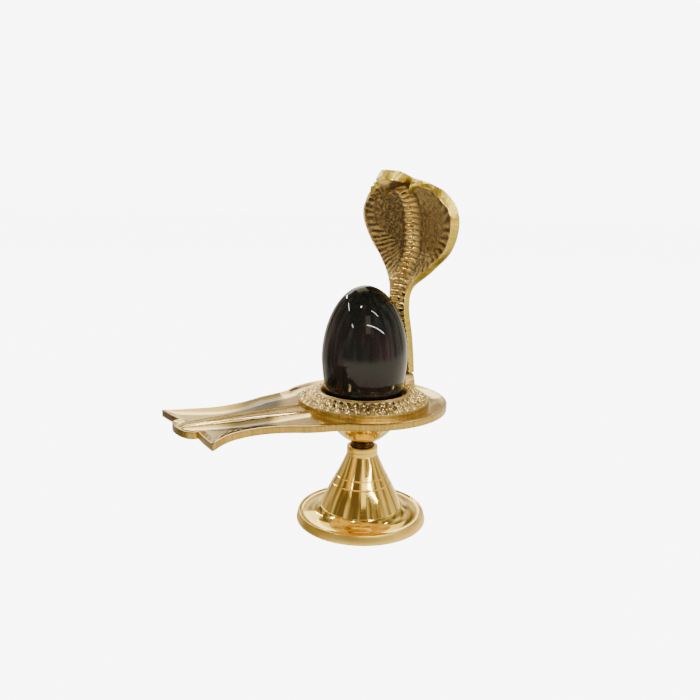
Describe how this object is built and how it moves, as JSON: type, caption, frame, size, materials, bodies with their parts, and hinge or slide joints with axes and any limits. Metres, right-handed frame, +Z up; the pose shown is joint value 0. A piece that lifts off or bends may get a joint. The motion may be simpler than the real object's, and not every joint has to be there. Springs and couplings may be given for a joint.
{
  "type": "shiva lingam on a brass pedestal",
  "caption": "Black stone lingam seated in a cast brass yoni plate with a long spout, a spread-hooded cobra behind it and a turned brass foot.",
  "frame": {"origin": "centre of the bounding box at the underside of the foot", "axes": "+Z up, the spout points along -X, the cobra stands on the +X side, turned a few degrees towards +Y"},
  "size_m": [0.1242, 0.0744, 0.1576],
  "materials": {
    "polished_brass": "turned and polished",
    "turned_brass": "turned and polished",
    "cast_brass": "cast, filed and buffed",
    "chased_brass": "chased, dark in the recesses",
    "dark_screw": "dull brown oxide",
    "black_stone": "high polish"
  },
  "bodies": {
    "root": {"pedestal_foot": "polished_brass", "threaded_stud": "dark_screw", "under_cup": "turned_brass", "yoni_plate": "cast_brass", "cobra": "chased_brass", "lingam_stone": "black_stone"}
  },
  "joints": []
}
